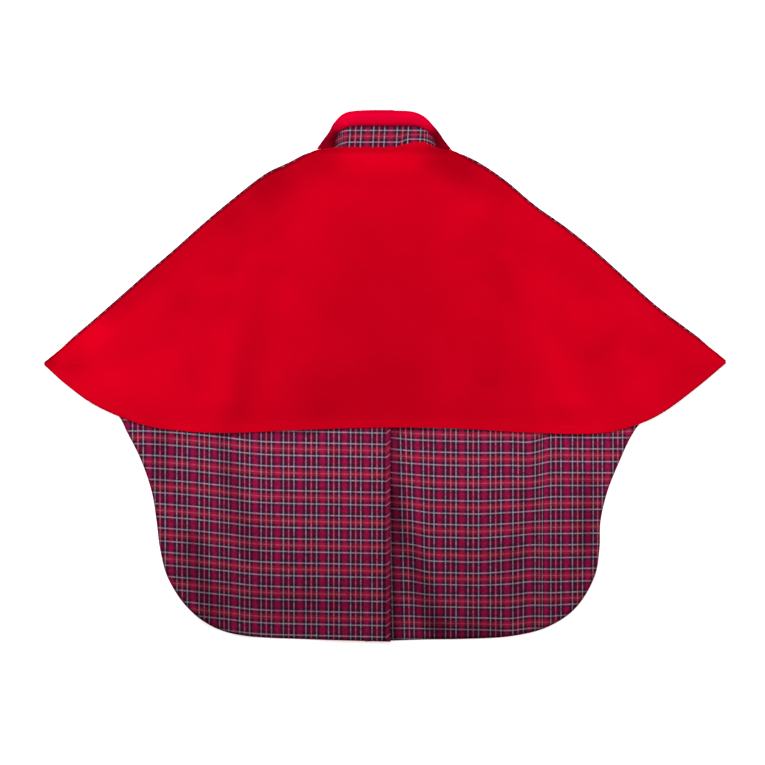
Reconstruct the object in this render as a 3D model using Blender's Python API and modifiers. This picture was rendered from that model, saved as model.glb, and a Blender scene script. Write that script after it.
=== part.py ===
"""Cape for a wheelchair user, laid flat on the floor with its back up.

The back is cut short, to seat length, and the two fronts are long, so the fronts' tartan
lining shows below the back's hem. X runs across the cape, Y runs from hem to collar, and the
fronts' outer cloth rests on the plane Z = 0.
"""
import math

import bmesh
import bpy
from mathutils import Vector

MM = 0.001
NAME = "wheelchair_cape"

# Driving dimensions, in millimetres
GAP = 0.3
SHELL_WALL = 2.0
LINING_WALL = 1.0
BACK_WALL = 2.2
STAND_WALL = 1.5
FALL_WALL = 2.0
TIP_ACROSS = 681.0
TIP_UP = 30.0
NECK_CORNER_ACROSS = 137.0

# Neckline of the fronts, and the fold line of the collar's front ends: two half ellipses
NECKLINE_CENTRE = 460.0
NECKLINE_ACROSS = 130.0
NECKLINE_DEEP = 88.0
NECKLINE_SEAM = 2 * GAP
NECKLINE_END = math.radians(87.0)
FOLD_CENTRE = 505.0
FOLD_ACROSS = 92.0
FOLD_DEEP = 72.0
COLLAR_END = math.radians(1.0)

# Centre front: the left front laps over the right one
LAP_EDGE = 11.0
LAP_HIDDEN_EDGE = -40.0
LAP_RISE = SHELL_WALL + LINING_WALL + 2 * GAP
LAP_RAMP = (-150.0, -92.0)
LAP_RAMP_BACK = (-215.0, -140.0, 50.0, 120.0)

# How far the lining stands inside its shell, and the back inside the fronts at the shoulders
LINING_INSET = 2.0
RIGHT_SIDE_INSET = 7.0
RIGHT_SIDE_FROM = (380.0, 425.0)
SHOULDER_INSET = 4.0
SHOULDER_INSET_FULL = 177.0
BACK_EDGE_LIFT = 0.9
BACK_DOME = 2.6
DOME_REACH = 70.0
EDGE_FOLD_SHARE = 0.35
NECK_RISE_REACH = 45.0

# How the shoulder's bow spreads into the front, and fades at the tip and at the neck
BOW_POWER = 3
BOW_FADE_TIP = 0.12
BOW_FADE_NECK = 0.05

# How much closer together the back's columns lie towards the tips, as part of a quarter turn
COLUMN_CROWDING = 0.86

# Resolution of the cloth grids, across and along
BACK_GRID = (52, 16)
FRONT_GRID = (22, 14)
STAND_GRID = (20, 3)
FALL_GRID = (36, 9)
LEAF_GRID = (12, 3)

# Shoulder line: distance from the middle, height on the left, height on the right
SHOULDER = (
    (137.0, 452.0, 450.5),
    (160.0, 444.0, 441.0),
    (190.0, 428.5, 426.0),
    (240.0, 404.0, 392.0),
    (300.0, 358.0, 341.5),
    (360.0, 308.0, 299.0),
    (420.0, 254.5, 251.0),
    (480.0, 203.0, 197.0),
    (540.0, 150.0, 143.0),
    (600.0, 98.0, 97.5),
    (650.0, 57.0, 61.0),
    (681.0, 32.0, 36.0),
)

# Hem of the back: across, height
BACK_HEM = (
    (-681.0, 22.0),
    (-640.0, -15.0),
    (-582.0, -57.0),
    (-502.0, -92.0),
    (-442.0, -106.0),
    (-328.0, -114.0),
    (-144.0, -107.0),
    (4.0, -103.0),
    (138.0, -105.0),
    (304.0, -114.0),
    (434.0, -114.0),
    (508.0, -96.0),
    (559.0, -71.0),
    (621.0, -25.0),
    (681.0, 25.0),
)

# Neck edge of the back: across, height
NECK_EDGE = (
    (-137.0, 452.0),
    (-100.0, 457.0),
    (-40.0, 457.5),
    (20.0, 458.5),
    (60.0, 467.5),
    (78.0, 467.0),
    (104.0, 457.0),
    (137.0, 450.5),
)

# Hem of the fronts, walked from the centre front to the tip: left across, left height,
# right across, right height
FRONT_HEM = (
    (11.0, -531.0, -40.0, -527.0),
    (-80.0, -528.5, 70.0, -526.0),
    (-162.0, -526.0, 160.0, -525.5),
    (-276.0, -520.0, 249.0, -520.5),
    (-343.0, -502.0, 322.0, -503.0),
    (-396.0, -462.0, 380.0, -465.0),
    (-434.0, -404.0, 418.0, -404.0),
    (-450.0, -345.0, 429.0, -345.0),
    (-457.0, -290.0, 431.0, -290.0),
    (-467.0, -230.0, 445.0, -230.0),
    (-488.0, -168.0, 469.0, -170.0),
    (-516.0, -112.0, 492.0, -121.0),
    (-536.0, -77.0, 515.0, -91.0),
    (-582.0, -54.0, 559.0, -67.0),
    (-640.0, -12.0, 621.0, -21.0),
    (-680.0, 26.0, 680.0, 30.0),
)

# Collar fall, section by section from the left shoulder over the top to the right shoulder:
# outer edge across and height, lower edge across and height, crown above the cloth, and the
# level of the folded outer edge
FALL_SECTIONS = (
    (-135.5, 454.6, -103.0, 459.4, 1.2, 5.0),
    (-124.0, 470.5, -101.0, 470.0, 1.6, 5.0),
    (-112.0, 487.5, -97.0, 482.0, 2.4, 5.3),
    (-103.0, 504.0, -85.0, 494.0, 4.0, 5.6),
    (-84.0, 523.0, -70.0, 500.0, 5.2, 6.6),
    (-58.0, 529.5, -50.0, 502.0, 6.0, 7.2),
    (0.0, 531.0, 0.0, 502.0, 6.0, 7.2),
    (52.0, 529.5, 45.0, 502.0, 6.0, 7.2),
    (78.0, 519.5, 68.0, 500.0, 5.2, 6.6),
    (95.0, 503.0, 84.0, 492.0, 4.0, 5.6),
    (108.0, 487.5, 95.0, 481.5, 2.4, 5.3),
    (119.0, 470.5, 101.0, 470.0, 1.6, 5.0),
    (132.0, 453.6, 103.0, 459.4, 1.2, 5.0),
)
FALL_TURN = math.radians(235.0)
FALL_LOWEST = 2 * FALL_WALL + 2 * GAP

# Collar stand: half width, top edge hidden under the fall, and its level at middle and ends
STAND_ACROSS = 104.0
STAND_TOP = 508.0
STAND_CORNER = 38.0
STAND_CORNER_POWER = 5
STAND_TUCK = 5.0
STAND_LEVEL_MIDDLE = 7.6
STAND_LEVEL_END = 4.8

# Soft folds of the back: start across, start height, end across, end height, half width, rise
BACK_FOLDS = (
    (-335.0, 150.0, -315.0, -130.0, 62.0, 6.0),
    (-610.0, 60.0, -470.0, 110.0, 75.0, 4.0),
    (190.0, 290.0, 410.0, 90.0, 75.0, 5.5),
    (410.0, 90.0, 360.0, -130.0, 75.0, 6.0),
    (185.0, 200.0, 200.0, 20.0, 50.0, 3.0),
    (-95.0, 435.0, 60.0, 430.0, 60.0, 3.0),
    (-190.0, 370.0, -430.0, 180.0, 70.0, 4.0),
    (230.0, 330.0, 520.0, 90.0, 60.0, 3.0),
    (-120.0, 330.0, -150.0, -60.0, 80.0, 2.0),
)

# Soft folds of the two linings, in the same columns
LEFT_LINING_FOLDS = (
    (-330.0, -120.0, -345.0, -470.0, 48.0, 5.0),
    (-270.0, -260.0, -280.0, -500.0, 40.0, 3.0),
    (-425.0, -180.0, -405.0, -380.0, 40.0, 3.0),
    (-160.0, -150.0, -170.0, -420.0, 55.0, 2.5),
)
RIGHT_LINING_FOLDS = (
    (300.0, -110.0, 262.0, -330.0, 50.0, 5.0),
    (56.0, -300.0, 88.0, -470.0, 36.0, 4.0),
    (408.0, -190.0, 398.0, -350.0, 32.0, 3.0),
    (170.0, -200.0, 180.0, -480.0, 55.0, 2.5),
)
LINING_CALM = (-200.0, -112.0)
LAP_CALM = (22.0, 62.0)

# Cloths: base colour and roughness
RED_CLOTH = ((0.60, 0.003, 0.012), 0.9)
TARTAN_CLOTH = ((0.16, 0.012, 0.045), 0.7)


def blend(low, high, value):
    """Smooth step from 0 at low to 1 at high."""
    t = min(max((value - low) / (high - low), 0.0), 1.0)
    return t * t * (3.0 - 2.0 * t)


def hermite(start, end, slope_start, slope_end, t):
    """Smooth value between start and end, at fraction t, with the slopes at both ends."""
    t2 = t * t
    t3 = t2 * t
    return (
        (2 * t3 - 3 * t2 + 1) * start
        + (t3 - 2 * t2 + t) * slope_start
        + (3 * t2 - 2 * t3) * end
        + (t3 - t2) * slope_end
    )


def by_section(rows, fraction, column):
    """Smooth value of a column at a fraction of the way through the sections."""
    place = fraction * (len(rows) - 1)
    index = min(int(place), len(rows) - 2)
    start = rows[index][column]
    end = rows[index + 1][column]
    slope_start = 0.5 * (end - rows[max(index - 1, 0)][column])
    slope_end = 0.5 * (rows[min(index + 2, len(rows) - 1)][column] - start)
    return hermite(start, end, slope_start, slope_end, place - index)


def by_distance(rows, x, column):
    """Smooth value of a column where the first column reads x."""
    x = min(max(x, rows[0][0]), rows[-1][0])
    index = 0
    while x > rows[index + 1][0]:
        index += 1
    low = rows[index]
    high = rows[index + 1]
    before = rows[max(index - 1, 0)]
    after = rows[min(index + 2, len(rows) - 1)]
    span = high[0] - low[0]
    slope_low = (high[column] - before[column]) / (high[0] - before[0])
    slope_high = (after[column] - low[column]) / (after[0] - low[0])
    t = (x - low[0]) / span
    return hermite(low[column], high[column], slope_low * span, slope_high * span, t)


def walk(rows, across, height, steps):
    """Points evenly spaced along the smooth line through two columns of a table."""
    fine = 12 * (len(rows) - 1)
    line = []
    for i in range(fine + 1):
        x = by_section(rows, i / fine, across)
        y = by_section(rows, i / fine, height)
        line.append(Vector((x, y)))
    lengths = [0.0]
    for a, b in zip(line, line[1:]):
        lengths.append(lengths[-1] + (b - a).length)
    points = []
    k = 0
    for i in range(steps + 1):
        target = lengths[-1] * i / steps
        while k < fine - 1 and lengths[k + 1] < target:
            k += 1
        t = (target - lengths[k]) / (lengths[k + 1] - lengths[k])
        points.append(line[k].lerp(line[k + 1], t))
    return points


def fold_height(folds, x, y):
    """Height that the soft folds of a table add at a point: each a rounded ridge."""
    total = 0.0
    for x0, y0, x1, y1, half_width, rise in folds:
        along = Vector((x1 - x0, y1 - y0))
        t = Vector((x - x0, y - y0)).dot(along) / along.length_squared
        t = min(max(t, 0.0), 1.0)
        away = math.hypot(x - x0 - along.x * t, y - y0 - along.y * t) / half_width
        if away < 1.0:
            total += rise * (1.0 - away * away) ** 2
    return total


def shoulder_height(x):
    return by_distance(SHOULDER, abs(x), 1 if x < 0 else 2)


def back_hem_height(x):
    return by_distance(BACK_HEM, x, 1)


def neck_edge_height(x):
    return by_distance(NECK_EDGE, x, 1)


def neckline_point(side, angle):
    """Point of the fronts' neckline, by its angle from the centre front."""
    across = side * NECKLINE_ACROSS * math.sin(angle)
    return Vector((across, NECKLINE_CENTRE - NECKLINE_DEEP * math.cos(angle)))


def stand_level(x):
    """Level of the collar stand's upper face: round in the middle, its ends turned down."""
    part = min(abs(x) / STAND_ACROSS, 1.0)
    return STAND_LEVEL_END + (STAND_LEVEL_MIDDLE - STAND_LEVEL_END) * (1.0 - part ** 4)


def lap_rise(x):
    """How far the left front climbs to lie on the right front at the centre."""
    return LAP_RISE * blend(LAP_RAMP[0], LAP_RAMP[1], x)


def front_plan(side, u, v, steps_u, hem):
    """Plan of a front: u from the centre front to the shoulder, v from the hem to the neck."""
    edge = LAP_EDGE if side < 0 else LAP_HIDDEN_EDGE
    start = math.asin(edge * side / NECKLINE_ACROSS)
    neck = neckline_point(side, start + (NECKLINE_END - start) * u)
    point = hem[round(u * steps_u)].lerp(neck, v)
    straight = hem[-1].lerp(neckline_point(side, NECKLINE_END), v)
    bow = shoulder_height(straight.x) - straight.y
    bow *= blend(0.0, BOW_FADE_TIP, v) * blend(0.0, BOW_FADE_NECK, 1.0 - v)
    return point + Vector((0.0, bow * u ** BOW_POWER))


def collection(name):
    group = bpy.data.collections.new(name)
    bpy.context.scene.collection.children.link(group)
    return group


def material(name, cloth_look):
    colour, roughness = cloth_look
    cloth = bpy.data.materials.new(name)
    cloth.use_nodes = True
    shader = cloth.node_tree.nodes["Principled BSDF"]
    shader.inputs["Base Color"].default_value = (*colour, 1.0)
    shader.inputs["Roughness"].default_value = roughness
    shader.inputs["Metallic"].default_value = 0.0
    return cloth


def cloth_piece(name, group, grid, place, wall, cloth_look):
    """A grid laid out by place(u, v), in millimetres, thickened upwards to a cloth wall."""
    columns, rows = grid
    bm = bmesh.new()
    bmesh.ops.create_grid(bm, x_segments=columns, y_segments=rows, size=0.5)
    for vert in bm.verts:
        u = round((vert.co.x + 0.5) * columns) / columns
        v = round((vert.co.y + 0.5) * rows) / rows
        vert.co = Vector(place(u, v)) * MM
    mesh = bpy.data.meshes.new(name)
    bm.to_mesh(mesh)
    bm.free()
    piece = bpy.data.objects.new(name, mesh)
    group.objects.link(piece)
    mesh.shade_smooth()
    mesh.materials.append(material(name, cloth_look))
    solidify = piece.modifiers.new("Cloth wall", "SOLIDIFY")
    solidify.thickness = wall * MM
    solidify.offset = 1.0
    return piece


def make_front(name_side, side, group):
    """Shell and lining of one front: the lining is the shell's own grid moved up and in."""
    steps_u, _ = FRONT_GRID
    across = 0 if side < 0 else 2
    hem = walk(FRONT_HEM, across, across + 1, steps_u)
    folds = LEFT_LINING_FOLDS if side < 0 else RIGHT_LINING_FOLDS

    def grid_u(u):
        return u if side > 0 else 1.0 - u

    def shell_point(u, v):
        point = front_plan(side, grid_u(u), v, steps_u, hem)
        rise = lap_rise(point.x) if side < 0 else 0.0
        return point.x, point.y, rise

    def lining_point(u, v):
        x, y, rise = shell_point(u, v)
        if v == 0.0:
            inset = LINING_INSET
            if side > 0:
                inset += (RIGHT_SIDE_INSET - LINING_INSET) * blend(*RIGHT_SIDE_FROM, x)
            towards = front_plan(side, grid_u(u), 1.0, steps_u, hem)
            inward = (towards - Vector((x, y))).normalized()
            x += inward.x * inset
            y += inward.y * inset
        calm = 1.0 - blend(LINING_CALM[0], LINING_CALM[1], y)
        wave = fold_height(folds, x, y) * calm
        if side > 0:
            wave *= blend(LAP_EDGE + LAP_CALM[0], LAP_EDGE + LAP_CALM[1], x)
        return x, y, rise + SHELL_WALL + GAP + wave

    shell = f"front_{name_side}_shell"
    lining = f"front_{name_side}_lining"
    cloth_piece(shell, group, FRONT_GRID, shell_point, SHELL_WALL, RED_CLOTH)
    cloth_piece(lining, group, FRONT_GRID, lining_point, LINING_WALL, TARTAN_CLOTH)


def back_columns(u):
    """Place of a column of the back: the columns lie closer together towards the tips."""
    widest = math.pi / 2 * COLUMN_CROWDING
    return TIP_ACROSS * math.sin(widest * (2.0 * u - 1.0)) / math.sin(widest)


def make_back(group):
    """The short back, over both fronts, with its soft folds and its dome."""

    def point(u, v):
        x = back_columns(u)
        low = back_hem_height(x)
        if abs(x) < NECK_CORNER_ACROSS:
            high = neck_edge_height(x)
        else:
            inset = SHOULDER_INSET * blend(NECK_CORNER_ACROSS, SHOULDER_INSET_FULL, abs(x))
            high = shoulder_height(x) - inset
        y = low + (high - low) * v
        ramp = LAP_RAMP_BACK
        level = SHELL_WALL + LINING_WALL + GAP
        level += LAP_RISE * blend(ramp[0], ramp[1], x) * (1.0 - blend(ramp[2], ramp[3], x))
        from_edge = min(y - low, high - y) / DOME_REACH
        inside = blend(0.0, 1.0, from_edge)
        folds = fold_height(BACK_FOLDS, x, y)
        folds *= EDGE_FOLD_SHARE + (1.0 - EDGE_FOLD_SHARE) * inside
        level += BACK_EDGE_LIFT + BACK_DOME * inside + folds
        at_stand = 1.0 - blend(0.0, NECK_RISE_REACH, high - y)
        if abs(x) < NECK_CORNER_ACROSS:
            level += max(stand_level(x) + GAP - level, 0.0) * at_stand
        return x, y, level

    cloth_piece("back_panel", group, BACK_GRID, point, BACK_WALL, RED_CLOTH)


def make_stand(group):
    """Tartan face of the collar stand, tucked under the back's neck edge and under the fall."""

    def point(u, v):
        part = 2.0 * u - 1.0
        x = STAND_ACROSS * part
        low = neck_edge_height(x) - STAND_TUCK
        drop = STAND_CORNER * (1.0 - math.sqrt(1.0 - abs(part) ** STAND_CORNER_POWER))
        y = low + (STAND_TOP - drop - low) * v
        return x, y, stand_level(x) - STAND_WALL

    cloth_piece("collar_stand", group, STAND_GRID, point, STAND_WALL, TARTAN_CLOTH)


def make_fall(group):
    """Red collar folded over: a crowned band whose outer edge turns under."""

    def point(u, v):
        outer = Vector((by_section(FALL_SECTIONS, u, 0), by_section(FALL_SECTIONS, u, 1)))
        lower = Vector((by_section(FALL_SECTIONS, u, 2), by_section(FALL_SECTIONS, u, 3)))
        crown = by_section(FALL_SECTIONS, u, 4)
        edge_level = by_section(FALL_SECTIONS, u, 5)
        turn = FALL_TURN * v
        part = 0.5 - 0.5 * math.cos(turn)
        start_level = stand_level(lower.x) + GAP
        level = start_level + (edge_level - start_level) * part
        if turn < math.pi:
            level += crown * math.sin(turn)
        else:
            under = math.sin(turn - math.pi) / math.sin(FALL_TURN - math.pi)
            level -= (edge_level - FALL_LOWEST) * under
        outer += (lower - outer).normalized() * FALL_WALL
        place = lower.lerp(outer, part)
        return place.x, place.y, level

    cloth_piece("collar_fall", group, FALL_GRID, point, FALL_WALL, RED_CLOTH)


def make_collar_front(name_side, side, group):
    """Front end of the collar, flat on the floor between the neckline and its fold line."""

    def point(u, v):
        part = u if side > 0 else 1.0 - u
        angle = COLLAR_END + (NECKLINE_END - COLLAR_END) * part
        centre = Vector((0.0, NECKLINE_CENTRE))
        low = neckline_point(side, angle)
        low += (centre - low).normalized() * NECKLINE_SEAM
        across = side * FOLD_ACROSS * math.sin(angle)
        high = Vector((across, FOLD_CENTRE - FOLD_DEEP * math.cos(angle)))
        place = low.lerp(high, v)
        return place.x, place.y, 0.0

    cloth_piece(f"collar_front_{name_side}", group, LEAF_GRID, point, FALL_WALL, RED_CLOTH)


def main():
    for item in list(bpy.data.objects):
        bpy.data.objects.remove(item, do_unlink=True)
    group = collection(NAME)
    for name_side, side in (("left", -1), ("right", 1)):
        make_front(name_side, side, group)
        make_collar_front(name_side, side, group)
    make_back(group)
    make_stand(group)
    make_fall(group)


main()
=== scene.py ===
"""Looks of the wheelchair cape, laid flat on the floor with its back up.

Each piece is a thin sheet of cloth on the form of its solid: napped red wool outside and woven
tartan inside, with turned edges, stitches and soft folds. X runs across the cape and Y from hem
to collar. Sizes are in millimetres unless a name says otherwise.
"""
import math

import bmesh
import bpy
from mathutils import Matrix, Vector


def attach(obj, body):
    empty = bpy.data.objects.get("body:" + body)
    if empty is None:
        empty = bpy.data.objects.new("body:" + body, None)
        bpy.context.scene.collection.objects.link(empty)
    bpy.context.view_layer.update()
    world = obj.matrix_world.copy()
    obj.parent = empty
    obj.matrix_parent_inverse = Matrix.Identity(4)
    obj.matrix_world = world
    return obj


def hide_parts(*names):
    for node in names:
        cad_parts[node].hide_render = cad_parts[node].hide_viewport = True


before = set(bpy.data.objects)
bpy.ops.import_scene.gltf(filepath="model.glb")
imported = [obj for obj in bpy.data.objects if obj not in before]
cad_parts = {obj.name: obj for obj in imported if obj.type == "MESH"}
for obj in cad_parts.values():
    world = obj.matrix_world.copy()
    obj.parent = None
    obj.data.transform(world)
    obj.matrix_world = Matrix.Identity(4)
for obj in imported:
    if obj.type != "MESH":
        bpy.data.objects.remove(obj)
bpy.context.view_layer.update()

bl_info = {
    "name": "Wheelchair cape",
    "version": (1, 0, 0),
    "blender": (4, 5, 0),
    "location": "View3D > Sidebar > Cape",
    "description": "Makes a red wool wheelchair cape with a tartan lining, laid flat",
    "category": "Add Mesh",
}

MM = 0.001
SIDES = (("left", -1), ("right", 1))

# Camera: straight above the middle of the picture, in metres
CAMERA_PLACE = (-0.005, -0.0128, 6.0)
CAMERA_REACH = 50.0
PICTURE_WIDTH = 1.530
SENSOR = 36.0

# Studio in metres and watts. Each light: name, place, size, power
FLOOR_HALF = 14.0
FLOOR_LEVEL = -0.0002
FLOOR_DEEP_SHARE = 0.985
AIR_STRENGTH = 0.24
LIGHTS = (
    ("Top softbox", (-0.4, 2.0, 1.7), 1.2, 62.0),
    ("Left softbox", (-1.7, -0.1, 0.75), 0.8, 13.0),
    ("Right softbox", (1.7, -0.1, 0.75), 0.8, 12.0),
)

# Spaces between the rows of points of a piece, across and along it, and between two rows of
# a table that a smooth line follows
SHELL_GRID = (110, 60)
LINING_GRID = (150, 90)
BACK_GRID = (240, 84)
STAND_GRID = (96, 32)
FALL_GRID = (180, 40)
LEAF_GRID = (72, 14)
LINE_STEPS = 12

# Finishes: what the sockets of each shader and of its noise and bump are set to
WOOL_FINISH = {
    "Roughness": 0.9,
    "Specular IOR Level": 0.0,
    "Sheen Weight": 0.25,
    "Sheen Roughness": 0.5,
    "Sheen Tint": (1.0, 0.02, 0.14, 1.0),
}
THREAD_FINISH = {"Roughness": 0.6, "Specular IOR Level": 0.2}
TARTAN_FINISH = {
    "Roughness": 0.72,
    "Specular IOR Level": 0.015,
    "Sheen Weight": 0.02,
    "Sheen Roughness": 0.4,
}
FLOOR_FINISH = {
    "Emission Color": (1.0, 1.0, 1.0, 1.0),
    "Emission Strength": 0.5,
    "Roughness": 0.95,
    "Specular IOR Level": 0.0,
}
WOOL_FIBRES = {"Scale": 900.0, "Detail": 3.0, "Roughness": 0.7}
WOOL_PATCHES = {"Scale": 11.0, "Detail": 3.0, "Roughness": 0.5}
THREAD_STRANDS = {"Scale": 1500.0, "Detail": 1.0, "Roughness": 0.5}
TARTAN_THREADS = {"Scale": 170.0, "Detail": 3.0, "Roughness": 0.6}
FLOOR_TONE = {"Scale": 0.8, "Detail": 1.0, "Roughness": 0.5}
WOOL_BUMP = {"Strength": 0.35, "Distance": 0.0005}
TARTAN_BUMP = {"Strength": 0.25, "Distance": 0.00025}

# Wool: how its fibres are stretched, and the share of the lighter red that comes from the
# fibres, from the patches and everywhere
FIBRE_STRETCH = (1.0, 0.35, 1.0)
FIBRE_SHARE = 0.35
PATCH_SHARE = 0.8
LIGHT_SHARE = 0.1

# Weave: width of a twill wale, and the share of the weft over the warp, by the twill and by
# uneven threads
TWILL_WALE = 1.5
TWILL_MIDDLE = 0.5
TWILL_SWING = 0.22
THREADS_SWING = 1.9
THREADS_FALL = 0.95

# The form that the solids have, in the same named sizes
GAP = 0.3
LINING_LEVEL = 3.3
BACK_WALL = 2.2
TIP_ACROSS = 681.0
NECK_CORNER_ACROSS = 137.0
NECKLINE_CENTRE = 460.0
NECKLINE_ACROSS = 130.0
NECKLINE_DEEP = 88.0
NECKLINE_SEAM = 0.6
NECKLINE_END = math.radians(87.0)
FOLD_CENTRE = 505.0
FOLD_ACROSS = 92.0
FOLD_DEEP = 72.0
COLLAR_END = math.radians(1.0)
LAP_EDGE = 11.0
LAP_HIDDEN_EDGE = -40.0
LAP_RISE = 3.6
LAP_RAMP = (-150.0, -92.0)
LAP_RAMP_BACK = (-215.0, -140.0, 50.0, 120.0)
SHOULDER_INSET = 4.0
SHOULDER_INSET_FULL = 177.0
BACK_EDGE_LIFT = 0.9
BACK_DOME = 2.6
DOME_REACH = 70.0
EDGE_FOLD_SHARE = 0.35
NECK_RISE_REACH = 45.0
BOW_POWER = 3
BOW_FADE_TIP = 0.12
BOW_FADE_NECK = 0.05
COLUMN_CROWDING = 0.86
LINING_INSET = 0.5
LINING_EDGE = (7.0, 1.5)
LINING_CALM = (-200.0, -112.0)
LAP_CALM = (22.0, 62.0)

# Shoulder line: distance from the middle, height on the left, height on the right
SHOULDER = (
    (137, 452, 450.5),
    (160, 444, 441),
    (190, 428.5, 426),
    (240, 404, 392),
    (300, 358, 341.5),
    (360, 308, 299),
    (420, 254.5, 251),
    (480, 203, 197),
    (540, 150, 143),
    (600, 98, 97.5),
    (650, 57, 61),
    (681, 32, 36),
)

# Hem of the back: across, height
BACK_HEM = (
    (-681, 22),
    (-640, -15),
    (-582, -57),
    (-502, -92),
    (-442, -106),
    (-328, -114),
    (-144, -107),
    (4, -103),
    (138, -105),
    (304, -114),
    (434, -114),
    (508, -96),
    (559, -71),
    (621, -25),
    (681, 25),
)

# Neck edge of the back: across, height
NECK_EDGE = (
    (-137, 452),
    (-100, 457),
    (-40, 457.5),
    (20, 458.5),
    (60, 467.5),
    (78, 467),
    (104, 457),
    (137, 450.5),
)

# Hem of the fronts from the centre front to the tip: left across and height, right the same
FRONT_HEM = (
    (11, -531, -40, -531),
    (-80, -528.5, 70, -527),
    (-162, -526, 160, -525.5),
    (-276, -520, 249, -520.5),
    (-343, -502, 322, -503),
    (-396, -462, 380, -465),
    (-434, -404, 418, -404),
    (-450, -345, 429, -345),
    (-457, -290, 431, -290),
    (-467, -230, 445, -230),
    (-488, -168, 469, -170),
    (-516, -112, 492, -121),
    (-536, -77, 515, -91),
    (-582, -54, 559, -67),
    (-640, -12, 621, -21),
    (-680, 26, 680, 30),
)

# Collar fall from the left shoulder over the top to the right one: outer edge across and
# height, lower edge across and height, crown above the cloth, level of the folded edge
FALL_SECTIONS = (
    (-136.8, 452.2, -103, 459, 1.2, 5),
    (-124, 470.5, -101, 470, 1.6, 5),
    (-112, 487.5, -97, 482, 2.4, 5.3),
    (-103, 504, -85, 494, 4, 5.6),
    (-84, 523, -70, 500, 5.2, 6.6),
    (-58, 529.5, -50, 502, 6, 7.2),
    (0, 531, 0, 502, 6, 7.2),
    (52, 529.5, 45, 502, 6, 7.2),
    (78, 519.5, 68, 500, 5.2, 6.6),
    (95, 503, 84, 492, 4, 5.6),
    (108, 487.5, 95, 481.5, 2.4, 5.3),
    (119, 470.5, 101, 470, 1.6, 5),
    (132, 453.6, 103, 459.4, 1.2, 5),
)

# Rest of the fall: how far its cloth turns, the notch in its outer edge and its stitches. A
# groove is its depth and half width. A step is its lift, its drop and its half width
FALL_WALL = 2.0
FALL_TURN = math.radians(235.0)
FALL_LOWEST = 4.6
FALL_CLOTH = 60.0
FALL_NOTCH = 20.0
FALL_NOTCH_GROOVE = (1.6, 3.0)
FALL_NOTCH_STEP = (0.8, 1.2, 1.0)
FALL_STITCH_TURN = math.radians(116.0)
FALL_STITCH_GROOVE = (0.35, 7.0)
FALL_STITCH_GAP = 0.8
FALL_STITCH_SHIFT = (0.0, 0.6, 1.8)
FALL_STITCHED = (0.2, 0.8)

# The collar's front ends on the cloth, and the rounding of its cut edges
LEAF_CLOTH = (200.0, 60.0)
SOFT_EDGE = 0.6
SOFT_EDGE_ROWS = 2
SOFT_EDGE_ANGLE = math.radians(50.0)

STAND_ACROSS = 104.0
STAND_TOP = 508.0
STAND_CORNER = 38.0
STAND_CORNER_POWER = 5
STAND_TUCK = 5.0
STAND_LEVEL_MIDDLE = 7.6
STAND_LEVEL_END = 4.8
STAND_LEVEL_POWER = 4

# Soft folds: start across and height, end across and height, half width, rise
BACK_FOLDS = (
    (-335, 150, -315, -130, 62, 6),
    (-610, 60, -470, 110, 75, 4),
    (190, 290, 410, 90, 75, 5.5),
    (410, 90, 360, -130, 75, 6),
    (185, 200, 200, 20, 50, 3),
    (-95, 435, 60, 430, 60, 3),
    (-190, 370, -430, 180, 70, 4),
    (230, 330, 520, 90, 60, 3),
    (-120, 330, -150, -60, 80, 2),
)
LEFT_LINING_FOLDS = (
    (-330, -120, -345, -470, 48, 5),
    (-270, -260, -280, -500, 40, 3),
    (-425, -180, -405, -380, 40, 3),
    (-160, -150, -170, -420, 55, 2.5),
)
RIGHT_LINING_FOLDS = (
    (300, -110, 262, -330, 50, 5),
    (56, -300, 88, -470, 36, 4),
    (408, -190, 398, -350, 32, 3),
    (170, -200, 180, -480, 55, 2.5),
)

# How much higher the cloth's folds stand than the table says
FOLD_SOFTNESS = 1.5

# Painted light and shade, as patches lighter or darker, in the same columns, the last one being
# the change
BACK_PAINTED_SHADING = (
    (-125, 452, 125, 452, 12, -0.2),
    (-610, 45, -470, 40, 130, 0.13),
    (-318, 80, -330, -60, 60, 0.10),
    (310, 150, 390, -80, 110, 0.16),
    (460, 90, 530, -10, 110, 0.12),
    (-130, 440, -245, 372, 66, -0.24),
    (-215, 385, -300, 310, 62, -0.12),
    (110, 438, 150, 415, 58, -0.18),
    (130, 428, 225, 375, 58, -0.15),
    (-300, 325, -540, 128, 45, -0.18),
    (-130, -40, 30, -30, 95, -0.10),
    (-10, 80, -15, 230, 170, -0.07),
    (-50, 425, 30, 425, 50, 0.05),
    (-655, 34, -630, 34, 55, -0.16),
    (-681, 30, -672, 30, 28, -0.2),
    (-560, -20, -385, -70, 80, 0.10),
    (330, -90, 500, -55, 80, 0.10),
    (-400, -108, 420, -112, 40, 0.07),
)
# Painted shade on the collar fall: in the recesses beside the stand's ends and along its edges
FALL_PAINTED_SHADE = (
    (-120, 446, -103, 478, 40, -0.55),
    (-102, 450, -98, 482, 15, -0.3),
    (-136, 448, -118, 470, 22, -0.2),
    (120, 446, 103, 478, 40, -0.52),
    (103, 450, 98, 482, 15, -0.28),
    (136, 448, 118, 470, 22, -0.2),
    (-56, 529, 50, 529, 7, -0.3),
    (-58, 528.5, -84, 522, 6, -0.2),
    (-84, 522, -103, 503, 6, -0.2),
    (-103, 503, -126, 468, 6, -0.2),
    (52, 528.5, 78, 519, 6, -0.2),
    (78, 519, 95, 503, 6, -0.2),
    (95, 503, 121, 468, 6, -0.2),
)
# Painted shade of the fold troughs on the left lining and near its hem
LEFT_LINING_PAINTED_SHADE = (
    (-326, -140, -270, -350, 36, -0.20),
    (-382, -330, -356, -470, 36, -0.22),
    (-448, -120, -446, -200, 36, -0.22),
    (-300, -445, -90, -450, 60, -0.09),
)
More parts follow.
